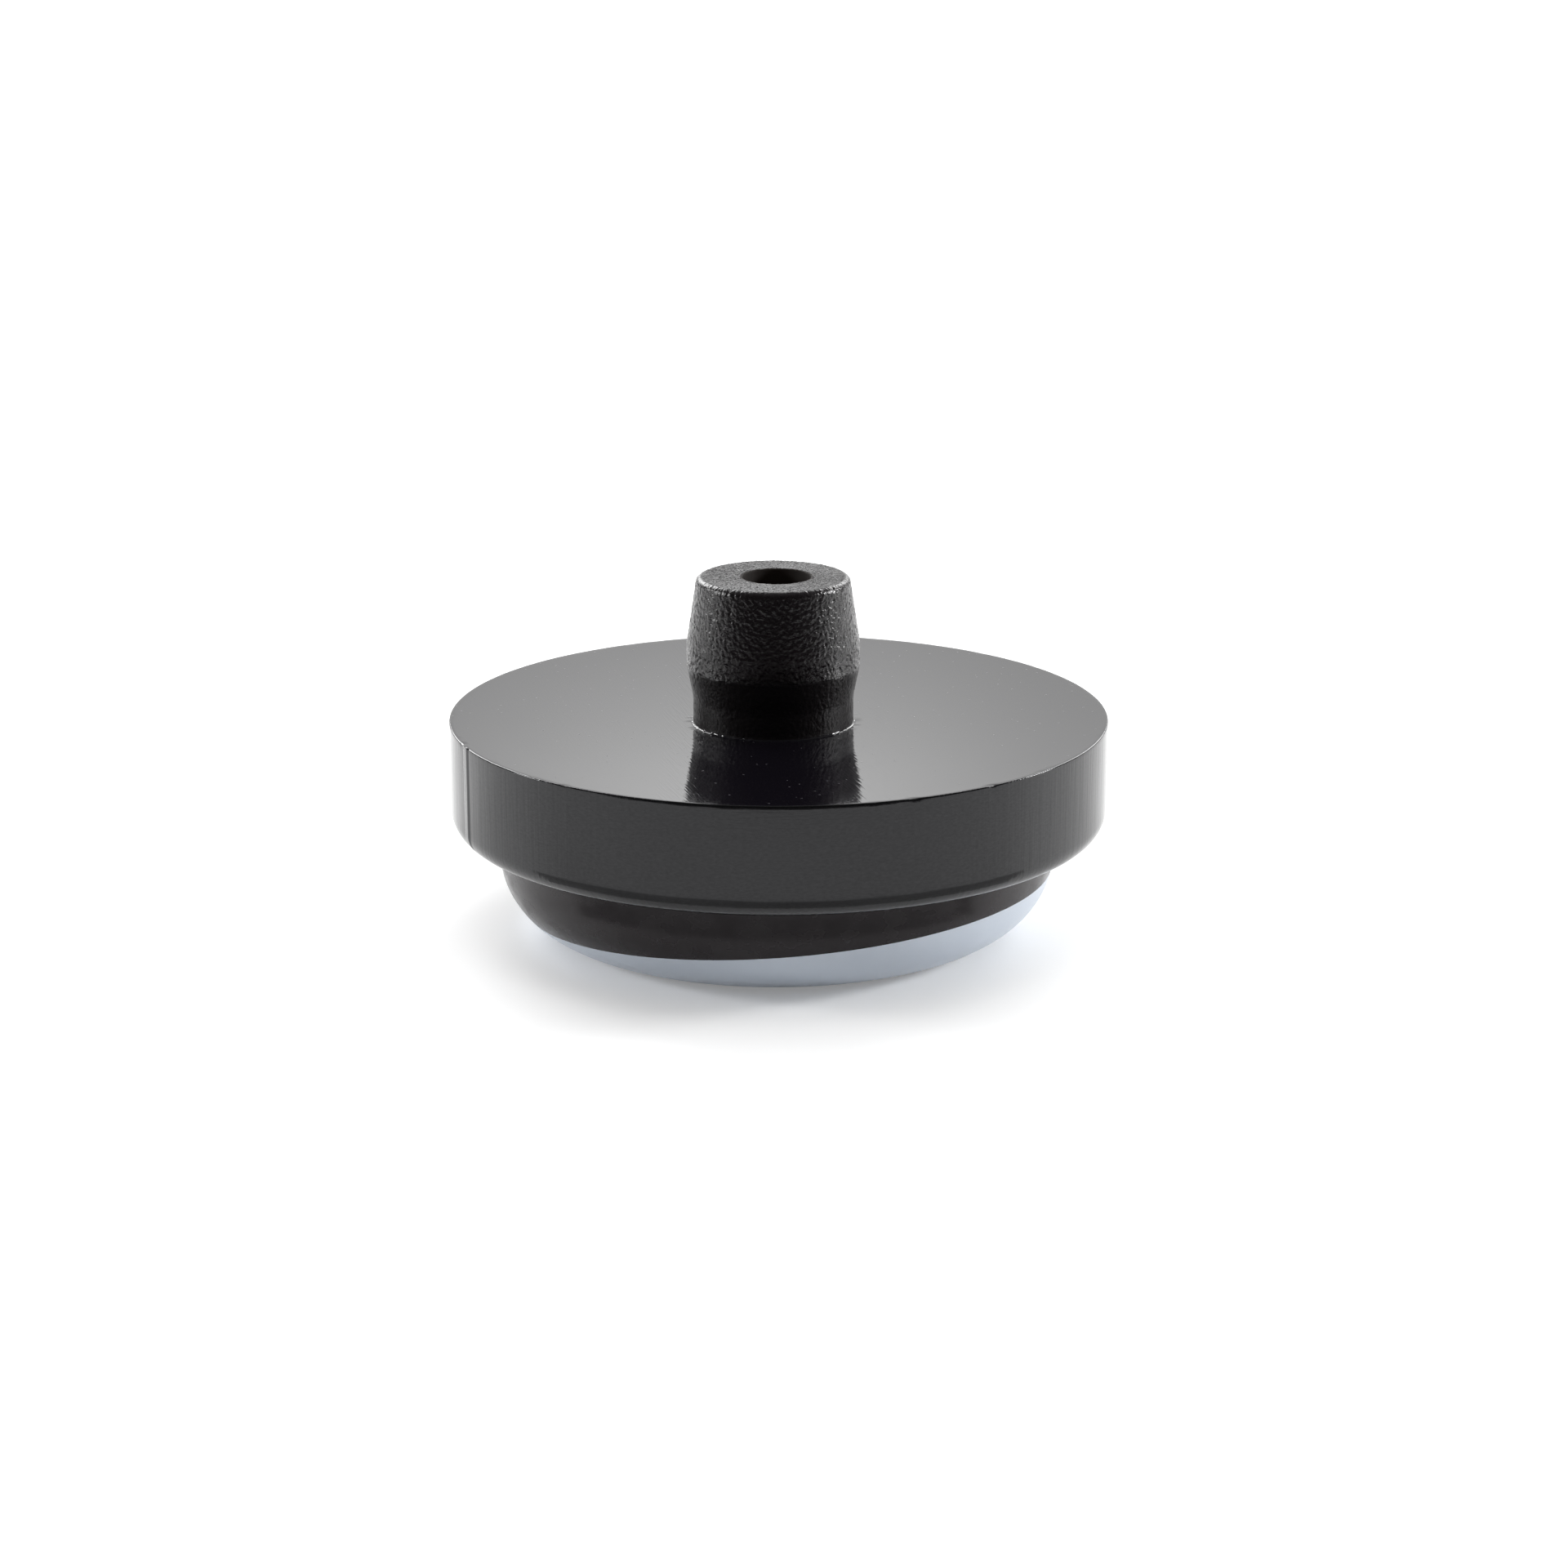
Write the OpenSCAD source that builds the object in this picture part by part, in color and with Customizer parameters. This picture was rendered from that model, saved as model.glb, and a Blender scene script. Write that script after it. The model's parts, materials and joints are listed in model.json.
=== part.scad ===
// Round push-in glide for furniture legs of square tube.
// The plug is pressed up into a hole in the tube's flat wall, the flat top of
// the disc seats against that wall, and the slip pad slides on the floor.
// The floor is z = 0 and the plug's axis is the Z axis.

/* [Seat disc] */
// Diameter of the disc
disc_d = 32; // [30:0.5:40]
// Height of the disc's straight side wall
disc_wall_h = 4.4; // [2:0.1:8]
// Radius of the round under the disc's rim
lip_r = 1; // [0.4:0.1:2]
// Radius of the fine round where the side wall meets the seat face
seat_edge_r = 0.12; // [0.05:0.01:0.5]

/* [Boss] */
// Diameter of the boss below the disc
boss_d = 27.2; // [22:0.1:29]
// Height of the boss's straight wall
boss_wall_h = 1.2; // [0.4:0.1:4]
// Radius of the round from the boss's wall down to the flat foot
foot_r = 3.9; // [3.4:0.1:6]

/* [Slip pad] */
// Thickness of the pad on the glide's axis
pad_t = 2; // [1.4:0.1:2.6]
// Angle at which the pad's top face rises towards +X
pad_rise_side = 4.5; // [0:0.1:6]
// Angle at which the pad's top face rises towards -Y
pad_rise_front = 1.9; // [0:0.1:4]

/* [Plug] */
// Diameter of the plain neck that stands in the tube's hole
neck_d = 7.8; // [6.8:0.1:8.2]
// Height of the neck from the seat face up to the flare
neck_h = 0.7; // [0.4:0.05:3]
// Radius of the fillet at the neck's root, which ends right under the crest
root_r = 0.3; // [0.05:0.01:0.4]
// Largest diameter of the plug, at the crest of its barb
crest_d = 8.4; // [8:0.1:9.4]
// Height of the curved flare from the neck to the crest
flare_h = 1.8; // [1:0.1:3]
// Height of the straight land at the crest
land_h = 1.1; // [0.3:0.05:2]
// Height of the lead-in taper from the land to the rim of the tip
taper_h = 2.95; // [2:0.05:8]
// Diameter at the top of the taper
tip_d = 7.5; // [6:0.1:7.9]
// Radius of the round on the tip's rim
tip_r = 0.3; // [0.1:0.05:0.6]

/* [Core hole] */
// Diameter of the blind hole down the plug's middle
core_d = 3.3; // [2:0.1:4]
// Depth of the hole from the tip
core_depth = 9; // [3:0.5:12]

/* [Hidden] */

ROUND_FN = 144;
SPIN_FN = 180;

// Heights above the floor
boss_z = foot_r;
lip_z = boss_z + boss_wall_h;
disc_z = lip_z + lip_r;
seat_z = disc_z + disc_wall_h;
flare_z = seat_z + neck_h;
crest_z = flare_z + flare_h;
taper_z = crest_z + land_h;
rim_z = taper_z + taper_h;
tip_z = rim_z + tip_r;

// The flare is two equal arcs that meet halfway between the neck and the crest
flare_step = (crest_d - neck_d) / 2;
flare_r = (pow(flare_h, 2) + pow(flare_step, 2)) / (4 * flare_step);
flare_mid_z = flare_z + flare_h / 2;

// A block this wide spans the whole glide
span = 2 * max(disc_d, tip_z);

// Half section of a plain round stretch between two heights
module band(r, from, to) {
    translate([0, from]) square([r, to - from]);
}

// Half section of a stretch that ends in a convex round: over its rim or under it
module rounded_band(r, from, to, over) {
    round_r = to - from;
    band(r - round_r, from, to);
    translate([r - round_r, over ? from : to])
        intersection() {
            circle(r = round_r, $fn = ROUND_FN);
            translate([0, over ? 0 : -2 * round_r]) square(2 * round_r);
        }
}

// Half section of the boss and its rounded foot
module boss_section() {
    rounded_band(boss_d / 2, 0, boss_z, over = false);
    band(boss_d / 2, boss_z, lip_z);
}

// Half section of the disc, with the round below its wall and the fine one above
module disc_section() {
    rounded_band(disc_d / 2, lip_z, disc_z, over = false);
    band(disc_d / 2, disc_z, seat_z - seat_edge_r);
    rounded_band(disc_d / 2, seat_z - seat_edge_r, seat_z, over = true);
}

// Half section of the neck, with the fillet at its root
module neck_section() {
    root_z = seat_z + root_r;
    difference() {
        band(neck_d / 2 + root_r, seat_z, root_z);
        translate([neck_d / 2 + root_r, root_z]) circle(r = root_r, $fn = ROUND_FN);
    }
    band(neck_d / 2, root_z, flare_z);
}

// Half section of the barb's flare: a hollow arc below and a full one above
module flare_section() {
    difference() {
        band(crest_d / 2, flare_z, flare_mid_z);
        translate([neck_d / 2 + flare_r, flare_z]) circle(r = flare_r, $fn = ROUND_FN);
    }
    intersection() {
        band(crest_d, flare_mid_z, crest_z);
        union() {
            band(neck_d / 2, flare_mid_z, crest_z);
            translate([crest_d / 2 - flare_r, crest_z]) circle(r = flare_r, $fn = ROUND_FN);
        }
    }
}

// Half section of the crest's land, the taper and the rounded rim of the tip
module tip_section() {
    band(crest_d / 2, crest_z, taper_z);
    polygon([[0, taper_z], [crest_d / 2, taper_z], [tip_d / 2, rim_z], [0, rim_z]]);
    rounded_band(tip_d / 2, rim_z, tip_z, over = true);
}

// Everything below the slanted face between the body and the pad
module below_joint_face() {
    translate([0, 0, pad_t])
        rotate([-pad_rise_front, -pad_rise_side, 0])
            translate([-span / 2, -span / 2, -span])
                cube(span);
}

// Black moulding: plug, seat disc and boss in one piece
module glide_body() {
    color([0.09, 0.09, 0.1])
        difference() {
            rotate_extrude($fn = SPIN_FN) {
                boss_section();
                disc_section();
                neck_section();
                flare_section();
                tip_section();
            }
            translate([0, 0, tip_z - core_depth])
                cylinder(d = core_d, h = core_depth + 1, $fn = ROUND_FN);
            below_joint_face();
        }
}

// White pad: the slice of the rounded foot below the joint face
module slip_pad() {
    color([0.78, 0.82, 0.87])
        intersection() {
            rotate_extrude($fn = SPIN_FN) boss_section();
            below_joint_face();
        }
}

glide_body();
slip_pad();
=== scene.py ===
"""Looks for a round push-in glide for square tube: a black moulding on a white slip pad."""

import json
import math

import bmesh
import bpy
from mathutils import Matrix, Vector, noise


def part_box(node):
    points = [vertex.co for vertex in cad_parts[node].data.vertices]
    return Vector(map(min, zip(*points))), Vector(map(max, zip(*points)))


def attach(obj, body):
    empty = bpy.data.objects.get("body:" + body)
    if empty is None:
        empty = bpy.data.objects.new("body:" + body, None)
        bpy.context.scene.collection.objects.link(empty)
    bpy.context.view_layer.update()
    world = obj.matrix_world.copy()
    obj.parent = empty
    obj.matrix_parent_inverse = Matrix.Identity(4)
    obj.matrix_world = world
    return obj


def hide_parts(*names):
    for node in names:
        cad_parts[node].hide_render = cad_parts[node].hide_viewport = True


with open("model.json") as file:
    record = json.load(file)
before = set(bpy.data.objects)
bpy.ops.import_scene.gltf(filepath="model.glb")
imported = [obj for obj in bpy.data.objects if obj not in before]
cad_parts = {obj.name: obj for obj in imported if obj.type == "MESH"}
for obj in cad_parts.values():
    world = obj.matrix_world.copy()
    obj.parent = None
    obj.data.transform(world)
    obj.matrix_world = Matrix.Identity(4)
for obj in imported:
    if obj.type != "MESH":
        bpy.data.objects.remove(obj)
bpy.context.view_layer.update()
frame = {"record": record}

# ---------------------------------------------------------------------------
# Glide body: plug, seat disc and stepped boss, one injection moulding in black
# acetal. The mould was polished for the seat face, turned for the side wall
# and spark-eroded for the plug, and each left its own finish on the part.
# ---------------------------------------------------------------------------

MM = 0.001

# Millimetres, as the CAD model has them
mounts = {mount["name"]: mount for mount in frame["record"]["mounts"]}
disc_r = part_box("glide_body")[1].x / MM
tip_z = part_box("glide_body")[1].z / MM
seat_z = mounts["tube_seat"]["pos_m"][2] / MM
crest_r = mounts["plug_crest"]["dims"]["r_mm"]
land_h = mounts["plug_crest"]["dims"]["length_mm"]
land_z = mounts["plug_crest"]["pos_m"][2] / MM - land_h / 2
core_r = mounts["core_hole"]["dims"]["r_mm"]
core_depth = mounts["core_hole"]["dims"]["length_mm"]
neck_r = 3.9
tip_r = 3.75
tip_round = 0.3
mouth_round = 0.1
disc_z = 6.1
lip_round = 1.0
boss_r = 13.6
foot_round = 3.9

# The joint face is 2 mm up on the axis and rises 4.5 degrees to +X, 1.9 to -Y
pad_t = 2.0
rise_side = math.radians(4.5)
rise_front = math.radians(1.9)
joint_normal = Vector((
    -math.tan(rise_side), math.tan(rise_front) / math.cos(rise_side), 1,
)).normalized()

# Millimetres that only the moulded skin has: tighter corners, a flare that is a
# cone between two rounds, and a seat that sank round the plug as it cooled
root_round = 0.08
edge_round = 0.06
crest_round = 0.3
neck_round = 2.0
flare_lean = math.radians(11)
seat_sink = 0.384  # were the sink to run on to the axis

WEDGES = 8
WEDGE_STEPS = 60  # facets in one wedge, so 480 all round
WELD = 0.0005
SHARP = math.radians(55)
GRAIN, POLISH, SATIN, BORE, CLOUDY = range(5)


def arc(centre, radius, start, end, steps):
    """Points along an arc in the half section, from one angle to another."""
    angles = [math.radians(start + (end - start) * i / steps) for i in range(steps + 1)]
    return [(centre[0] + radius * math.cos(a), centre[1] + radius * math.sin(a)) for a in angles]


def straight(start, end, step):
    """Points along a straight stretch of the half section, at most a step apart."""
    steps = max(1, math.ceil(math.dist(start, end) / step))
    return [
        (start[0] + (end[0] - start[0]) * i / steps, start[1] + (end[1] - start[1]) * i / steps)
        for i in range(steps + 1)
    ]


def turn(bm, outline, finish):
    """Spins a stretch of the half section through one wedge, with one finish on its faces."""
    before = set(bm.faces)
    points = [bm.verts.new((r, 0, z)) for r, z in outline]
    edges = [bm.edges.new(pair) for pair in zip(points, points[1:])]
    bmesh.ops.spin(
        bm, geom=points + edges, cent=(0, 0, 0), axis=(0, 0, 1),
        angle=math.tau / WEDGES, steps=WEDGE_STEPS,
    )
    for face in bm.faces:
        if face not in before:
            face.material_index = finish


def close_up(bm):
    """Repeats the wedge all round and joins it into one closed skin that faces outwards."""
    bmesh.ops.spin(
        bm, geom=bm.verts[:] + bm.edges[:] + bm.faces[:], cent=(0, 0, 0), axis=(0, 0, 1),
        angle=math.tau * (WEDGES - 1) / WEDGES, steps=WEDGES - 1, use_duplicate=True,
    )
    bmesh.ops.remove_doubles(bm, verts=bm.verts, dist=WELD)
    bmesh.ops.dissolve_degenerate(bm, dist=WELD, edges=bm.edges)
    bmesh.ops.recalc_face_normals(bm, faces=bm.faces)


def seat_height(r):
    """Height of the seat face at a radius."""
    return seat_z - seat_sink * (1 - (r / (disc_r - edge_round)) ** 2)


both_rounds = crest_round + neck_round
cone = (crest_r - neck_r - both_rounds * (1 - math.cos(flare_lean))) / math.sin(flare_lean)
flare_z = land_z - both_rounds * math.sin(flare_lean) - cone * math.cos(flare_lean)
lean = math.degrees(flare_lean)
under_crest = arc((crest_r - crest_round, land_z), crest_round, 0, -lean, 1)
over_neck = arc((neck_r + neck_round, flare_z), neck_round, 180 - lean, 180, 6)
rim_z = tip_z - tip_round
root_z = seat_height(neck_r + root_round)
lip_z = disc_z - lip_round
grain_step = 0.068  # fine enough for the grain's smallest pits
row = 0.2  # between the extra rows down the wall, which end the nicks in the rim
near = 0.1  # an extra row this near a corner keeps the flat beside it flat to the eye

form = bmesh.new()
turn(form, [
    (0, tip_z - core_depth), (core_r, tip_z - core_depth),
    *straight((core_r, tip_z - core_depth + near), (core_r, tip_z - mouth_round), 1.5),
    *arc((core_r + mouth_round, tip_z - mouth_round), mouth_round, 180, 90, 2),
], BORE)
turn(form, [
    *straight((core_r + mouth_round, tip_z), (tip_r - tip_round, tip_z), grain_step),
    *arc((tip_r - tip_round, rim_z), tip_round, 90, 0, 4)[1:],
    *straight((tip_r, rim_z), (crest_r, land_z + land_h), grain_step)[1:],
    *straight((crest_r, land_z + land_h), (crest_r, land_z), grain_step)[1:],
    *under_crest[1:],
    *straight(under_crest[-1], over_neck[0], grain_step)[1:],
    *over_neck[1:],
    *straight((neck_r, flare_z), (neck_r, root_z + root_round), grain_step)[1:],
], GRAIN)
turn(form, [
    *arc((neck_r + root_round, root_z + root_round), root_round, 180, 270, 3),
    *[
        (r, seat_height(r))
        for r in (4.05, 4.4, *range(5, 16), 15.6, 15.8, disc_r - edge_round)
    ],
], POLISH)
turn(form, [
    *arc((disc_r - edge_round, seat_z - edge_round), edge_round, 90, 0, 4),
    (disc_r, seat_z - row), (disc_r, seat_z - 2 * row), (disc_r, seat_z - 3 * row),
    (disc_r, disc_z + row), (disc_r, disc_z),
    *arc((disc_r - lip_round, disc_z), lip_round, 0, -90, 10)[1:],
    (disc_r - lip_round - near, lip_z), (boss_r + near, lip_z), (boss_r, lip_z),
], SATIN)
turn(form, [
    (boss_r, lip_z), (boss_r, lip_z - near), (boss_r, foot_round),
    *arc((boss_r - foot_round, foot_round), foot_round, 0, -90, 18)[1:],
    (0, 0),
], CLOUDY)
close_up(form)


def grain_height(place, pebble_h, grit_h):
    """Height of the spark-eroded grain: pebbles out of line, with finer grit on them."""
    pebble_w, grit_w = 0.14, 0.08
    wander_w, wander = 0.3, 0.5
    place_in_pebbles = place / pebble_w + noise.noise_vector(place / wander_w) * wander
    return pebble_h * noise.noise(place_in_pebbles) + grit_h * noise.noise(place / grit_w)


def raise_grain(bm):
    """Pushes the plug's skin in and out by its grain, which fades out towards the root."""
    # Heights of pebbles and grit, in millimetres
    tip_grain = (0.014, 0.028)
    taper_grain = (0.035, 0.014)
    neck_grain = (0.016, 0.012)
    fade = 0.2
    sunk = 0.012
    bm.normal_update()
    grained = {v for f in bm.faces if f.material_index == GRAIN for v in f.verts}
    for vert in grained:
        faces_up = vert.normal.z > 0.9
        above_flare = vert.co.z > land_z
        grain = tip_grain if faces_up else taper_grain if above_flare else neck_grain
        share = min(1, max(0, vert.co.z - root_z) / fade)
        vert.co += vert.normal * share * (grain_height(vert.co, *grain) - sunk)


def roughen_root(bm):
    """Leaves beads of flash in the corner round the plug's root."""
    bead_h, bead_w, slack = 0.035, 0.25, 0.01
    for vert in bm.verts:
        in_corner = neck_r - slack < vert.co.xy.length < neck_r + root_round + slack
        if in_corner and root_z - slack < vert.co.z < root_z + root_round:
            bead = bead_h * max(0, noise.noise(vert.co / bead_w))
            vert.co.z += bead
            vert.co.xy *= 1 + bead / neck_r


def wear_rim(bm):
    """Leaves the seat's rim a little wavy, and nicked where it was knocked."""
    # Bearing from the front in degrees, half width in degrees, depth in millimetres
    nicks = (
        (-69.6, 0.8, 0.06), (-37.6, 0.9, 0.02), (15.5, 0.9, 0.015), (22.5, 1.2, 0.03),
        (37.5, 1.0, 0.04), (49.5, 0.9, 0.02),
    )
    wave_h, wave_w = 0.01, 0.6
    worn_h, slack = 0.15, 0.01
    pushed_in = 0.5
    for vert in bm.verts:
        if vert.co.xy.length > disc_r - edge_round - slack and vert.co.z > seat_z - worn_h:
            bearing = math.degrees(math.atan2(vert.co.x, -vert.co.y))
            nick = max(depth * max(0, 1 - abs(bearing - at) / half) for at, half, depth in nicks)
            vert.co.z -= nick + max(0, wave_h * noise.noise(vert.co / wave_w))
            vert.co.xy *= 1 - pushed_in * nick / disc_r


def out_of_true(bm):
    """Moves plug and disc sideways against bore and boss: the mould's parts met a bit off."""
    # Radius and sideways offset in millimetres, in between in proportion
    offsets = (
        (0, 0), (1.8, 0), (3.4, -0.16), (4.5, -0.16), (13.0, 0), (13.61, 0), (15.0, 0.10),
        (20, 0.10),
    )
    for vert in bm.verts:
        r = vert.co.xy.length
        for (near, near_x), (far, far_x) in zip(offsets, offsets[1:]):
            if near <= r < far:
                vert.co.x += near_x + (far_x - near_x) * (r - near) / (far - near)
                break


def split_at_joint_face(bm, keep_above):
    """Cuts the turned form along the slanted face between body and pad, and closes the cut."""
    cut = bmesh.ops.bisect_plane(
        bm, geom=bm.verts[:] + bm.edges[:] + bm.faces[:], dist=WELD,
        plane_co=(0, 0, pad_t), plane_no=joint_normal,
        clear_inner=keep_above, clear_outer=not keep_above,
    )
    rim = [item for item in cut["geom_cut"] if isinstance(item, bmesh.types.BMEdge)]
    bmesh.ops.contextual_create(bm, geom=rim)
    bmesh.ops.recalc_face_normals(bm, faces=bm.faces)


grain_seed = 3  # the pebbles' wander is a random draw, and this makes it the same each run
noise.seed_set(grain_seed)
raise_grain(form)
roughen_root(form)
wear_rim(form)
out_of_true(form)
split_at_joint_face(form, keep_above=True)


def add(tree, kind, sockets=None, links=None, **settings):
    """Adds a shader node: its settings, the values of its sockets and what feeds them."""
    node = tree.nodes.new("ShaderNode" + kind)
    for name, value in settings.items():
        setattr(node, name, value)
    for socket, value in (sockets or {}).items():
        node.inputs[socket].default_value = value
    for socket, source in (links or {}).items():
        tree.links.new(source, node.inputs[socket])
    return node


def colour(code):
    """Linear colour of an sRGB hex code."""
    parts = [int(code[i:i + 2], 16) / 255 for i in (1, 3, 5)]
    return [c / 12.92 if c <= 0.04045 else ((c + 0.055) / 1.055) ** 2.4 for c in parts] + [1]


def per_mm(width):
    """Texture scale for marks of a width in millimetres."""
    return 1 / (width * MM)


def start_material(name, **sockets):
    """A material with one shader and that shader's sockets set."""
    material = bpy.data.materials.new(name)
    material.use_nodes = True
    tree = material.node_tree
    tree.nodes.clear()
    shader = add(tree, "BsdfPrincipled", {k.replace("_", " "): v for k, v in sockets.items()})
    add(tree, "OutputMaterial", links={"Surface": shader.outputs[0]})
    return material, tree, shader


def moulded_grain():
    """Acetal off a spark-eroded mould: pebbled skin that glitters, rougher on the neck, and darker
    there with painted shade under the barb.
    """
    material, tree, shader = start_material(
        "acetal_spark_eroded", Base_Color=colour("#120E10"), IOR=1.5,
    )
    place = add(tree, "TexCoord").outputs["Object"]
    height = add(tree, "SeparateXYZ", links={0: place})
    up_the_flare = {"From Min": (land_z - 0.3) * MM, "From Max": (land_z + 0.1) * MM}
    # Painted shade under the barb: the specular level falls from 0.5 to 0.2 down the flare,
    # darkening the neck
    gloss = add(
        tree, "MapRange", {**up_the_flare, "To Min": 0.2, "To Max": 0.5},
        {"Value": height.outputs["Z"]},
    )
    rough = add(
        tree, "MapRange", {**up_the_flare, "To Min": 0.42, "To Max": 0.2},
        {"Value": height.outputs["Z"]},
    )
    pits = add(tree, "TexNoise", {"Scale": per_mm(0.11), "Detail": 3.0}, {"Vector": place})
    bump = add(
        tree, "Bump", {"Strength": 1.0, "Distance": 0.025 * MM}, {"Height": pits.outputs[0]},
    )
    tree.links.new(gloss.outputs[0], shader.inputs["Specular IOR Level"])
    tree.links.new(rough.outputs[0], shader.inputs["Roughness"])
    tree.links.new(bump.outputs[0], shader.inputs["Normal"])
    return material


def moulded_matt():
    """Acetal off a plain steel core pin: matt, and dark in the depth of the hole."""
    material, tree, shader = start_material(
        "acetal_core_pin", Base_Color=colour("#1A130F"), Roughness=0.7, IOR=1.3,
    )
    place = add(tree, "TexCoord").outputs["Object"]
    upright = add(
        tree, "Mapping", {"Scale": (per_mm(0.2), per_mm(0.2), per_mm(3))}, {"Vector": place},
    )
    drag = add(tree, "TexNoise", {"Scale": 1.0, "Detail": 2.0}, {"Vector": upright.outputs[0]})
    bump = add(
        tree, "Bump", {"Strength": 1.0, "Distance": 0.01 * MM}, {"Height": drag.outputs[0]},
    )
    tree.links.new(bump.outputs[0], shader.inputs["Normal"])
    return material


def moulded_polish():
    """Acetal off a polished mould: a near mirror, with stoning lines by the plug and dust."""
    material, tree, shader = start_material("acetal_polished", Roughness=0.04, IOR=1.5)
    place = add(tree, "TexCoord").outputs["Object"]
    # The real lines are far finer than 0.09 mm, and are drawn this coarse to show
    along = add(tree, "Mapping", {"Rotation": (0, 0, math.radians(-15))}, {"Vector": place})
    lines = add(
        tree, "Mapping", {"Scale": (per_mm(0.09), per_mm(2.0), 1)}, {"Vector": along.outputs[0]},
    )
    stoning = add(tree, "TexNoise", {"Scale": 1.0, "Detail": 1.0}, {"Vector": lines.outputs[0]})
    # Cubed, so that single lines stand out. They are deep only beside the plug, and
    # fade between 5 and 5.6 mm from its middle, where the mould was buffed
    deep = add(tree, "Math", {1: 3.0}, {0: stoning.outputs[0]}, operation="POWER")
    sideways = add(tree, "SeparateXYZ", links={0: place})
    aside = add(tree, "Math", links={0: sideways.outputs["X"]}, operation="ABSOLUTE")
    depth = add(
        tree, "MapRange", {
            "From Min": 5.0 * MM, "From Max": 5.6 * MM, "To Min": 0.004 * MM, "To Max": 0.0005 * MM,
        },
        {"Value": aside.outputs[0]},
    )
    stoned = add(
        tree, "Bump", {"Strength": 1.0}, {"Height": deep.outputs[0], "Distance": depth.outputs[0]},
    )
    # Specks of dust, at most 0.05 mm in radius
    dust = add(tree, "TexVoronoi", {"Scale": per_mm(0.6)}, {"Vector": place})
    speck = add(
        tree, "MapRange", {"From Min": 0.04, "From Max": 0.08, "To Min": 1.0, "To Max": 0.0},
        {"Value": dust.outputs["Distance"]}, interpolation_type="SMOOTHSTEP",
    )
    bump = add(
        tree, "Bump", {"Strength": 1.0, "Distance": 0.03 * MM},
        {"Height": speck.outputs[0], "Normal": stoned.outputs[0]},
    )
    dusted = add(
        tree, "Mix", {"A": colour("#0E0C11"), "B": colour("#5C5A60")},
        {"Factor": speck.outputs[0]}, data_type="RGBA",
    )
    tree.links.new(dusted.outputs["Result"], shader.inputs["Base Color"])
    tree.links.new(bump.outputs[0], shader.inputs["Normal"])
    return material


def moulded_satin():
    """Acetal off a turned mould: satin, ringed, with drag marks and the mould's parting line."""
    material, tree, shader = start_material(
        "acetal_turned_satin", Base_Color=colour("#0A0A0B"), Roughness=0.12, IOR=1.45,
        Specular_Tint=(0.97, 0.97, 1.0, 1.0),
    )
    place = add(tree, "TexCoord").outputs["Object"]
    # Feed marks of the turning tool, drawn coarser than real ones so that they show
    rings = add(
        tree, "Mapping", {"Scale": (per_mm(1.6), per_mm(1.6), per_mm(0.1))}, {"Vector": place},
    )
    turned = add(tree, "TexNoise", {"Scale": 1.0, "Detail": 2.0}, {"Vector": rings.outputs[0]})
    ringed = add(
        tree, "Bump", {"Strength": 1.0, "Distance": 0.003 * MM}, {"Height": turned.outputs[0]},
    )
    # Upright marks where the wall slid out of the mould
    upright = add(
        tree, "Mapping", {"Scale": (per_mm(0.25), per_mm(0.25), per_mm(5))}, {"Vector": place},
    )
    drag = add(tree, "TexNoise", {"Scale": 1.0, "Detail": 2.0}, {"Vector": upright.outputs[0]})
    dragged = add(
        tree, "Bump", {"Strength": 1.0, "Distance": 0.01 * MM},
        {"Height": drag.outputs[0], "Normal": ringed.outputs[0]},
    )
    # Parting line up the wall, 67 degrees round from the front towards -X, and opposite
    parting = math.radians(-67)
    across = add(
        tree, "VectorMath", {1: (math.cos(parting), math.sin(parting), 0)}, {0: place},
        operation="DOT_PRODUCT",
    )
    off_line = add(tree, "Math", links={0: across.outputs["Value"]}, operation="ABSOLUTE")
    ridge = add(
        tree, "MapRange", {"From Min": 0.0, "From Max": 0.45 * MM, "To Min": 1.0, "To Max": 0.0},
        {"Value": off_line.outputs[0]}, interpolation_type="SMOOTHSTEP",
    )
    bump = add(
        tree, "Bump", {"Strength": 1.0, "Distance": 0.07 * MM},
        {"Height": ridge.outputs[0], "Normal": dragged.outputs[0]},
    )
    # The sheen is a little uneven, in flat flecks
    flecks = add(
        tree, "Mapping", {"Scale": (per_mm(0.2), per_mm(0.2), per_mm(0.07))}, {"Vector": place},
    )
    mottle = add(tree, "TexNoise", {"Scale": 1.0, "Detail": 3.0}, {"Vector": flecks.outputs[0]})
    gloss = add(
        tree, "MapRange", {"From Min": 0.3, "From Max": 0.7, "To Min": 0.45, "To Max": 0.55},
        {"Value": mottle.outputs[0]},
    )
    tree.links.new(gloss.outputs[0], shader.inputs["Specular IOR Level"])
    tree.links.new(bump.outputs[0], shader.inputs["Normal"])
    return material


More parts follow.
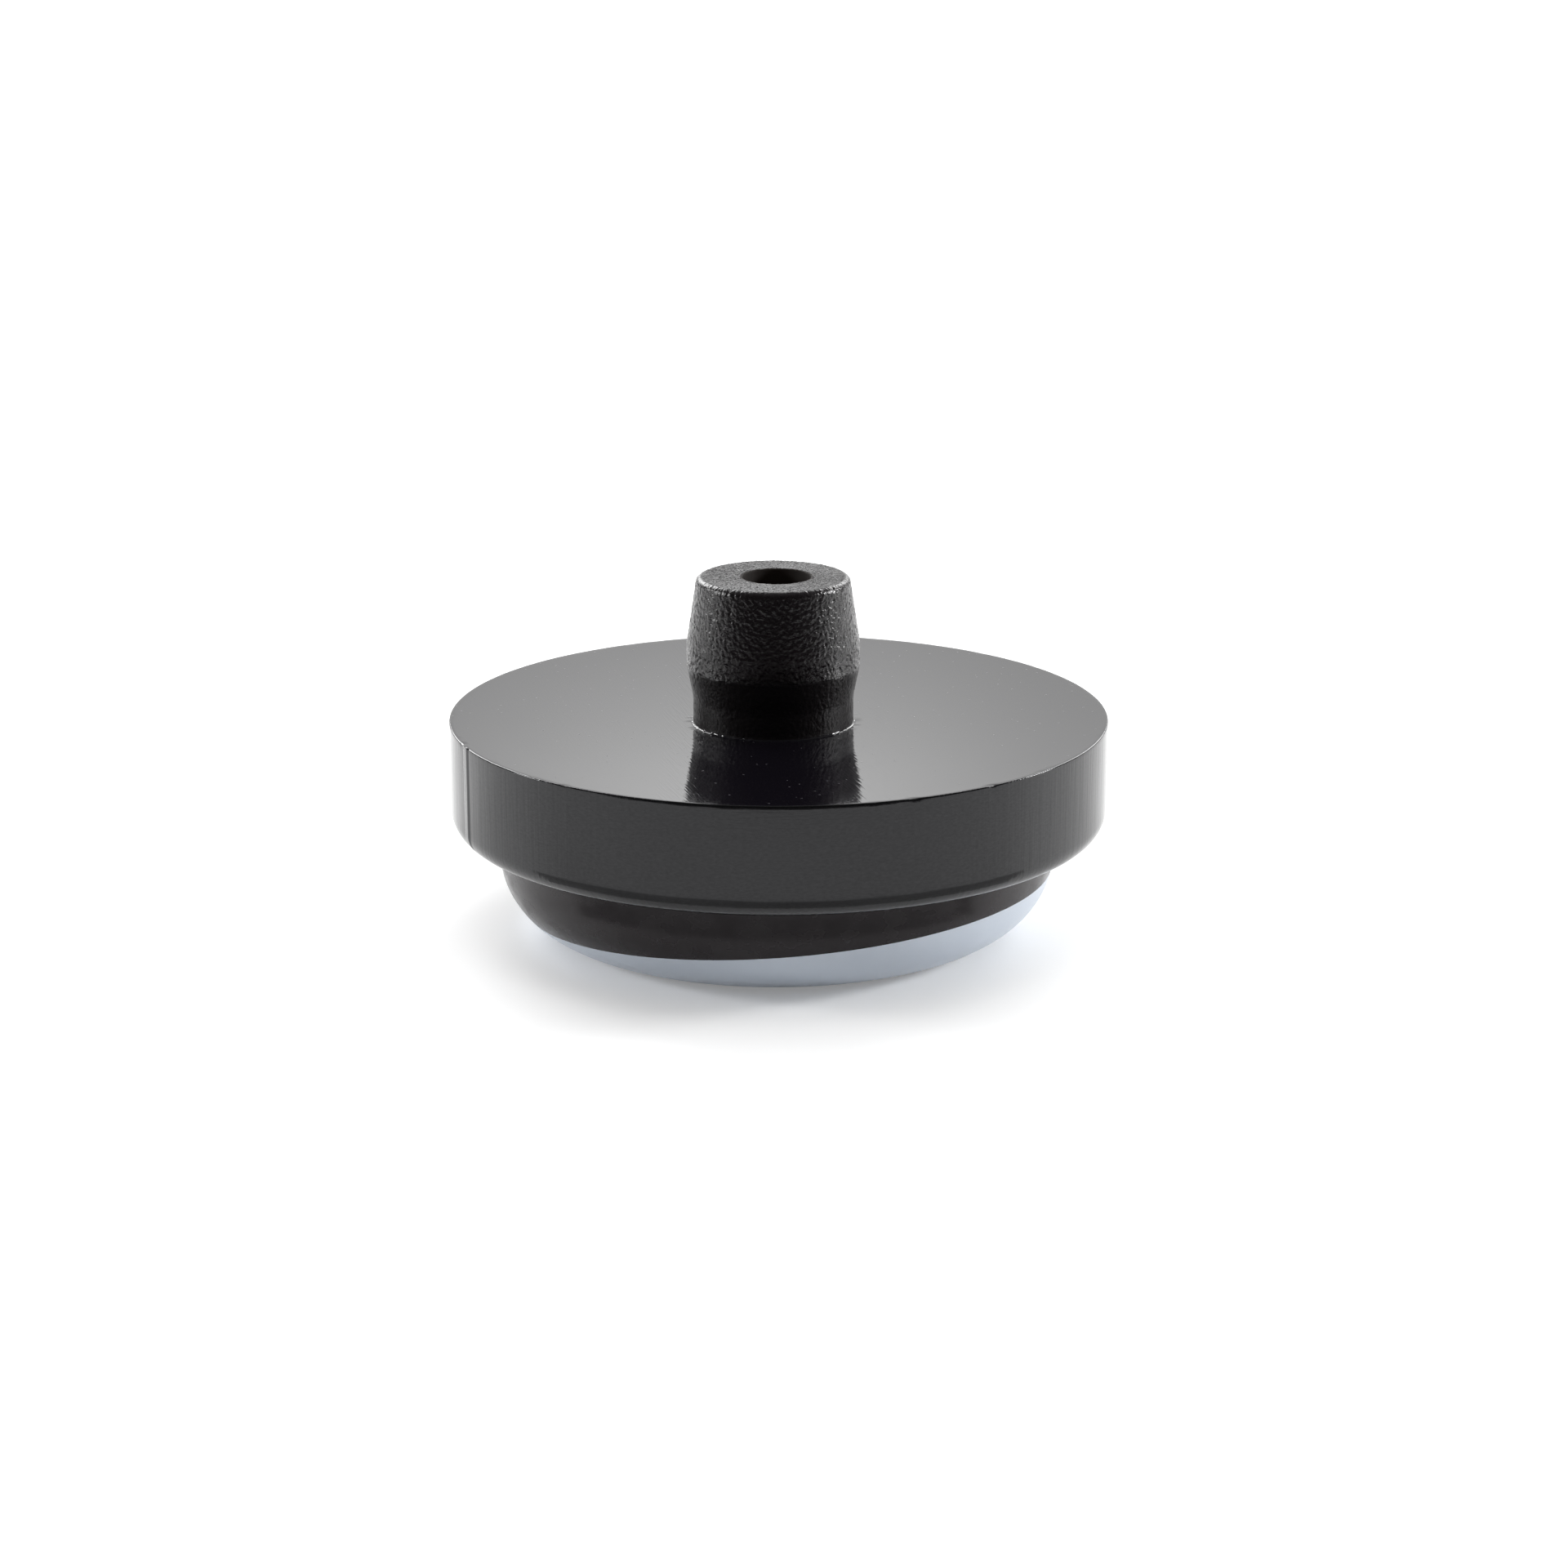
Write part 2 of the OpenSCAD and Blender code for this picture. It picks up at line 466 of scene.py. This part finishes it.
def moulded_cloudy():
    """Acetal off a worn mould: satin with a faint warm cast, cloudy in soft patches."""
    material, tree, shader = start_material(
        "acetal_worn_satin", Base_Color=colour("#1B1719"), IOR=1.36,
        Specular_Tint=(1.0, 0.96, 0.98, 1.0),
    )
    place = add(tree, "TexCoord").outputs["Object"]
    patches = add(
        tree, "Mapping", {"Scale": (per_mm(1.5), per_mm(1.5), per_mm(1.0))}, {"Vector": place},
    )
    cloud = add(tree, "TexNoise", {"Scale": 1.0, "Detail": 4.0}, {"Vector": patches.outputs[0]})
    gloss = add(
        tree, "MapRange", {"From Min": 0.3, "From Max": 0.7, "To Min": 0.44, "To Max": 0.56},
        {"Value": cloud.outputs[0]},
    )
    rough = add(
        tree, "MapRange", {"From Min": 0.35, "From Max": 0.65, "To Min": 0.16, "To Max": 0.34},
        {"Value": cloud.outputs[0]},
    )
    bump = add(
        tree, "Bump", {"Strength": 1.0, "Distance": 0.012 * MM}, {"Height": cloud.outputs[0]},
    )
    tree.links.new(gloss.outputs[0], shader.inputs["Specular IOR Level"])
    tree.links.new(rough.outputs[0], shader.inputs["Roughness"])
    tree.links.new(bump.outputs[0], shader.inputs["Normal"])
    return material


def to_piece(bm, name, finishes):
    """Makes the finished form an object in metres, shaded smooth apart from its sharp corners."""
    for face in bm.faces:
        face.smooth = True
    for edge in bm.edges:
        if edge.is_manifold and edge.calc_face_angle() > SHARP:
            edge.smooth = False
    bmesh.ops.scale(bm, vec=(MM, MM, MM), verts=bm.verts)
    mesh = bpy.data.meshes.new(name)
    bm.to_mesh(mesh)
    bm.free()
    for finish in finishes:
        mesh.materials.append(finish)
    piece = bpy.data.objects.new(name, mesh)
    bpy.context.scene.collection.objects.link(piece)
    return piece


glide_body = to_piece(form, "body_moulding", [
    moulded_grain(), moulded_polish(), moulded_satin(), moulded_matt(), moulded_cloudy(),
])
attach(glide_body, "root")
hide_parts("glide_body")

# ---------------------------------------------------------------------------
# Slip pad: white low-friction plastic on the boss's slanted face, turned flush
# with the boss's round. It is what slides on the floor.
# ---------------------------------------------------------------------------


def turned_white():
    """Dense polyethylene, turned: bluish white, waxy and faintly see-through, finely ringed."""
    material, tree, shader = start_material(
        "polyethylene_turned", IOR=1.52, Subsurface_Weight=0.15,
        Subsurface_Radius=(0.6 * MM, 0.6 * MM, 0.6 * MM), Subsurface_Scale=1.0,
    )
    place = add(tree, "TexCoord").outputs["Object"]
    cloud = add(tree, "TexNoise", {"Scale": per_mm(2.5), "Detail": 3.0}, {"Vector": place})
    white = add(
        tree, "Mix", {"A": colour("#CCD5E2"), "B": colour("#D1DAE5")},
        {"Factor": cloud.outputs[0]}, data_type="RGBA",
    )
    rough = add(
        tree, "MapRange", {"From Min": 0.3, "From Max": 0.7, "To Min": 0.28, "To Max": 0.32},
        {"Value": cloud.outputs[0]},
    )
    # Feed marks of the lathe, drawn coarser than real ones so that they show
    rings = add(
        tree, "Mapping", {"Scale": (per_mm(5), per_mm(5), per_mm(0.25))}, {"Vector": place},
    )
    turned = add(tree, "TexNoise", {"Scale": 1.0, "Detail": 1.0}, {"Vector": rings.outputs[0]})
    bump = add(
        tree, "Bump", {"Strength": 1.0, "Distance": 0.004 * MM}, {"Height": turned.outputs[0]},
    )
    tree.links.new(white.outputs["Result"], shader.inputs["Base Color"])
    tree.links.new(rough.outputs[0], shader.inputs["Roughness"])
    tree.links.new(bump.outputs[0], shader.inputs["Normal"])
    return material


form = bmesh.new()
turn(form, [
    (0, 0), (boss_r - foot_round - near, 0),
    *arc((boss_r - foot_round, foot_round), foot_round, -90, 0, 18),
    (boss_r, lip_z), (0, lip_z),
], 0)
close_up(form)
out_of_true(form)
split_at_joint_face(form, keep_above=False)
slip_pad = to_piece(form, "pad_white", [turned_white()])
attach(slip_pad, "root")
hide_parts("slip_pad")

# ---------------------------------------------------------------------------
# Studio: a plain white table, soft light from behind and above, and a dark room
# in front and overhead, so that the black plastic shows its form by what it
# mirrors. Sizes and places from here on are in metres.
# ---------------------------------------------------------------------------

clear_of_table = 0.0005


def lay(form, name, material):
    """Brings something flat into the studio."""
    mesh = bpy.data.meshes.new(name)
    form.to_mesh(mesh)
    form.free()
    mesh.materials.append(material)
    thing = bpy.data.objects.new(name, mesh)
    bpy.context.scene.collection.objects.link(thing)
    return thing


def keep_to_mirror_images(thing):
    """Lets only mirror images show a thing."""
    thing.visible_camera = False
    thing.visible_diffuse = False
    thing.visible_shadow = False


def white_table():
    """Matt white table top, a little paler to the eye than its light, so shadows stay pale."""
    form = bmesh.new()
    bmesh.ops.create_grid(form, x_segments=1, y_segments=1, size=2.0)
    material, tree, shader = start_material(
        "table_white", Base_Color=colour("#F4F4F4"), Roughness=0.7, IOR=1.5,
        Emission_Color=(1, 1, 1, 1),
    )
    ray = add(tree, "LightPath")
    seen = add(
        tree, "Math", links={0: ray.outputs["Is Camera Ray"], 1: ray.outputs["Is Glossy Ray"]},
        operation="ADD",
    )
    seen_or_through = add(
        tree, "Math", links={0: seen.outputs[0], 1: ray.outputs["Is Transmission Ray"]},
        operation="ADD",
    )
    pale = add(tree, "Math", {1: 0.22}, {0: seen_or_through.outputs[0]}, operation="MULTIPLY")
    tree.links.new(pale.outputs[0], shader.inputs["Emission Strength"])
    lay(form, "table", material)


def black_flag():
    """Painted reflection: a black sheet on the table in front, shown only in mirror images, for the
    dark edge it gives the seat's rim.
    """
    near_edge, half_size = -0.055, 0.5
    form = bmesh.new()
    bmesh.ops.create_grid(form, x_segments=1, y_segments=1, size=half_size)
    bmesh.ops.translate(form, vec=(0, near_edge - half_size, clear_of_table), verts=form.verts)
    # Painted dark reflection: no real cloth, and only mirror images show it
    material, *_ = start_material(
        "black_velvet", Base_Color=colour("#1C1C1C"), Roughness=1.0,
    )
    keep_to_mirror_images(lay(form, "black_flag", material))


def grey_crescent():
    """Painted shade: a grey crescent on the table round the glide's front, shown only in mirror
    images, for the shade that the disc's lip mirrors.
    """
    inner_r, outer_r, cut_y = 18 * MM, 26 * MM, -10 * MM
    form = bmesh.new()
    for radius in (inner_r, outer_r):
        bmesh.ops.create_circle(form, segments=96, radius=radius)
    bmesh.ops.bridge_loops(form, edges=form.edges[:])
    bmesh.ops.bisect_plane(
        form, geom=form.verts[:] + form.edges[:] + form.faces[:], dist=0.01 * MM,
        plane_co=(0, cut_y, 0), plane_no=(0, 1, 0), clear_outer=True,
    )
    bmesh.ops.translate(form, vec=(0, 0, clear_of_table), verts=form.verts)
    # Painted shade: it stands in for the glide's contact shadow on the table, and only mirror
    # images show it
    material, *_ = start_material(
        "grey_felt", Base_Color=colour("#C8C8C8"), Roughness=1.0,
    )
    keep_to_mirror_images(lay(form, "shade", material))


def room_light():
    """Light of the room by direction: a bright backdrop behind, dark overhead and in front."""
    world = bpy.data.worlds.new("room")
    world.use_nodes = True
    tree = world.node_tree
    tree.nodes.clear()
    direction = add(tree, "TexCoord").outputs["Generated"]
    way = add(tree, "SeparateXYZ", links={0: direction})
    # The backdrop's even level, with a brighter stripe low down, close to its middle
    backdrop, stripe_extra, shift_x = 1.31, 0.61, 0.005
    off_middle = add(tree, "Math", {1: shift_x}, {0: way.outputs["X"]}, operation="ADD")
    aside = add(tree, "Math", links={0: off_middle.outputs[0]}, operation="ABSOLUTE")
    stripe = add(
        tree, "MapRange",
        {"From Min": 0.005, "From Max": 0.075, "To Min": stripe_extra, "To Max": 0.0},
        {"Value": aside.outputs[0]}, interpolation_type="SMOOTHSTEP",
    )
    low = add(
        tree, "MapRange", {"From Min": 0.22, "From Max": 0.43, "To Min": 1.0, "To Max": 0.0},
        {"Value": way.outputs["Z"]},
    )
    back = add(
        tree, "Math", {2: backdrop}, {0: stripe.outputs[0], 1: low.outputs[0]},
        operation="MULTIPLY_ADD",
    )
    # Where the backdrop hangs: behind, and not overhead
    behind = add(
        tree, "MapRange", {"From Min": 0.6, "From Max": 0.93, "To Min": 0.0, "To Max": 1.0},
        {"Value": way.outputs["Y"]}, interpolation_type="SMOOTHSTEP",
    )
    not_overhead = add(
        tree, "MapRange", {"From Min": 0.4, "From Max": 0.7, "To Min": 1.0, "To Max": 0.0},
        {"Value": way.outputs["Z"]}, interpolation_type="SMOOTHSTEP",
    )
    share = add(
        tree, "Math", links={0: behind.outputs[0], 1: not_overhead.outputs[0]},
        operation="MULTIPLY",
    )
    # The rest of the room, darkest in front
    room = add(
        tree, "MapRange", {"From Min": -0.7, "From Max": 0.2, "To Min": 0.07, "To Max": 0.3},
        {"Value": way.outputs["Y"]}, interpolation_type="SMOOTHSTEP",
    )
    level = add(
        tree, "Mix", links={"Factor": share.outputs[0], "A": room.outputs[0], "B": back.outputs[0]},
    )
    shine = add(tree, "Background", links={"Strength": level.outputs[0]})
    add(tree, "OutputWorld", links={"Surface": shine.outputs[0]})
    bpy.context.scene.world = world


def softbox(name, place, size, watts, mirrored=True):
    """A rectangular softbox that faces the glide, and may be kept out of its mirror images."""
    light = bpy.data.lights.new(name, "AREA")
    light.shape = "RECTANGLE"
    light.size, light.size_y = size
    light.energy = watts
    lamp = bpy.data.objects.new(name, light)
    lamp.location = place
    lamp.rotation_euler = Vector(place).to_track_quat("Z", "Y").to_euler()
    lamp.visible_camera = False
    lamp.visible_glossy = mirrored
    bpy.context.scene.collection.objects.link(lamp)


def camera():
    """Looks down at the glide from in front, 180 mm away."""
    target = Vector((0, 0, 8.5 * MM))
    tilt = math.radians(15.65)
    distance = 180 * MM
    picture_px, focal_px = 1920, 4510
    aim_x, aim_y = 9 / focal_px, -38.3 / focal_px
    away = Vector((0, -math.cos(tilt), math.sin(tilt)))
    right = Vector((1, 0, 0))
    up = Vector((0, math.sin(tilt), math.cos(tilt)))
    data = bpy.data.cameras.new("camera")
    data.sensor_width = 36
    data.lens = focal_px / picture_px * data.sensor_width
    data.clip_start = 0.01
    eye = bpy.data.objects.new("camera", data)
    eye.location = target + away * distance
    sight = -away + right * aim_x + up * aim_y
    eye.rotation_euler = sight.to_track_quat("-Z", "Y").to_euler()
    bpy.context.scene.collection.objects.link(eye)
    bpy.context.scene.camera = eye


white_table()
black_flag()
grey_crescent()
room_light()
softbox("softbox_left", (-0.56, 0.06, 0.205), (0.12, 0.12), 1.2)
softbox("softbox_right", (0.555, 0.10, 0.205), (0.14, 0.12), 2.2)
softbox("backlight_left", (-0.32, 0.56, 0.36), (0.45, 0.35), 3.1)
softbox("backlight_right", (0.32, 0.56, 0.36), (0.45, 0.35), 2.3)
softbox("top_fill", (0, -0.1, 0.70), (0.70, 0.70), 2.9, mirrored=False)
camera()

bpy.context.scene.view_settings.view_transform = "Standard"
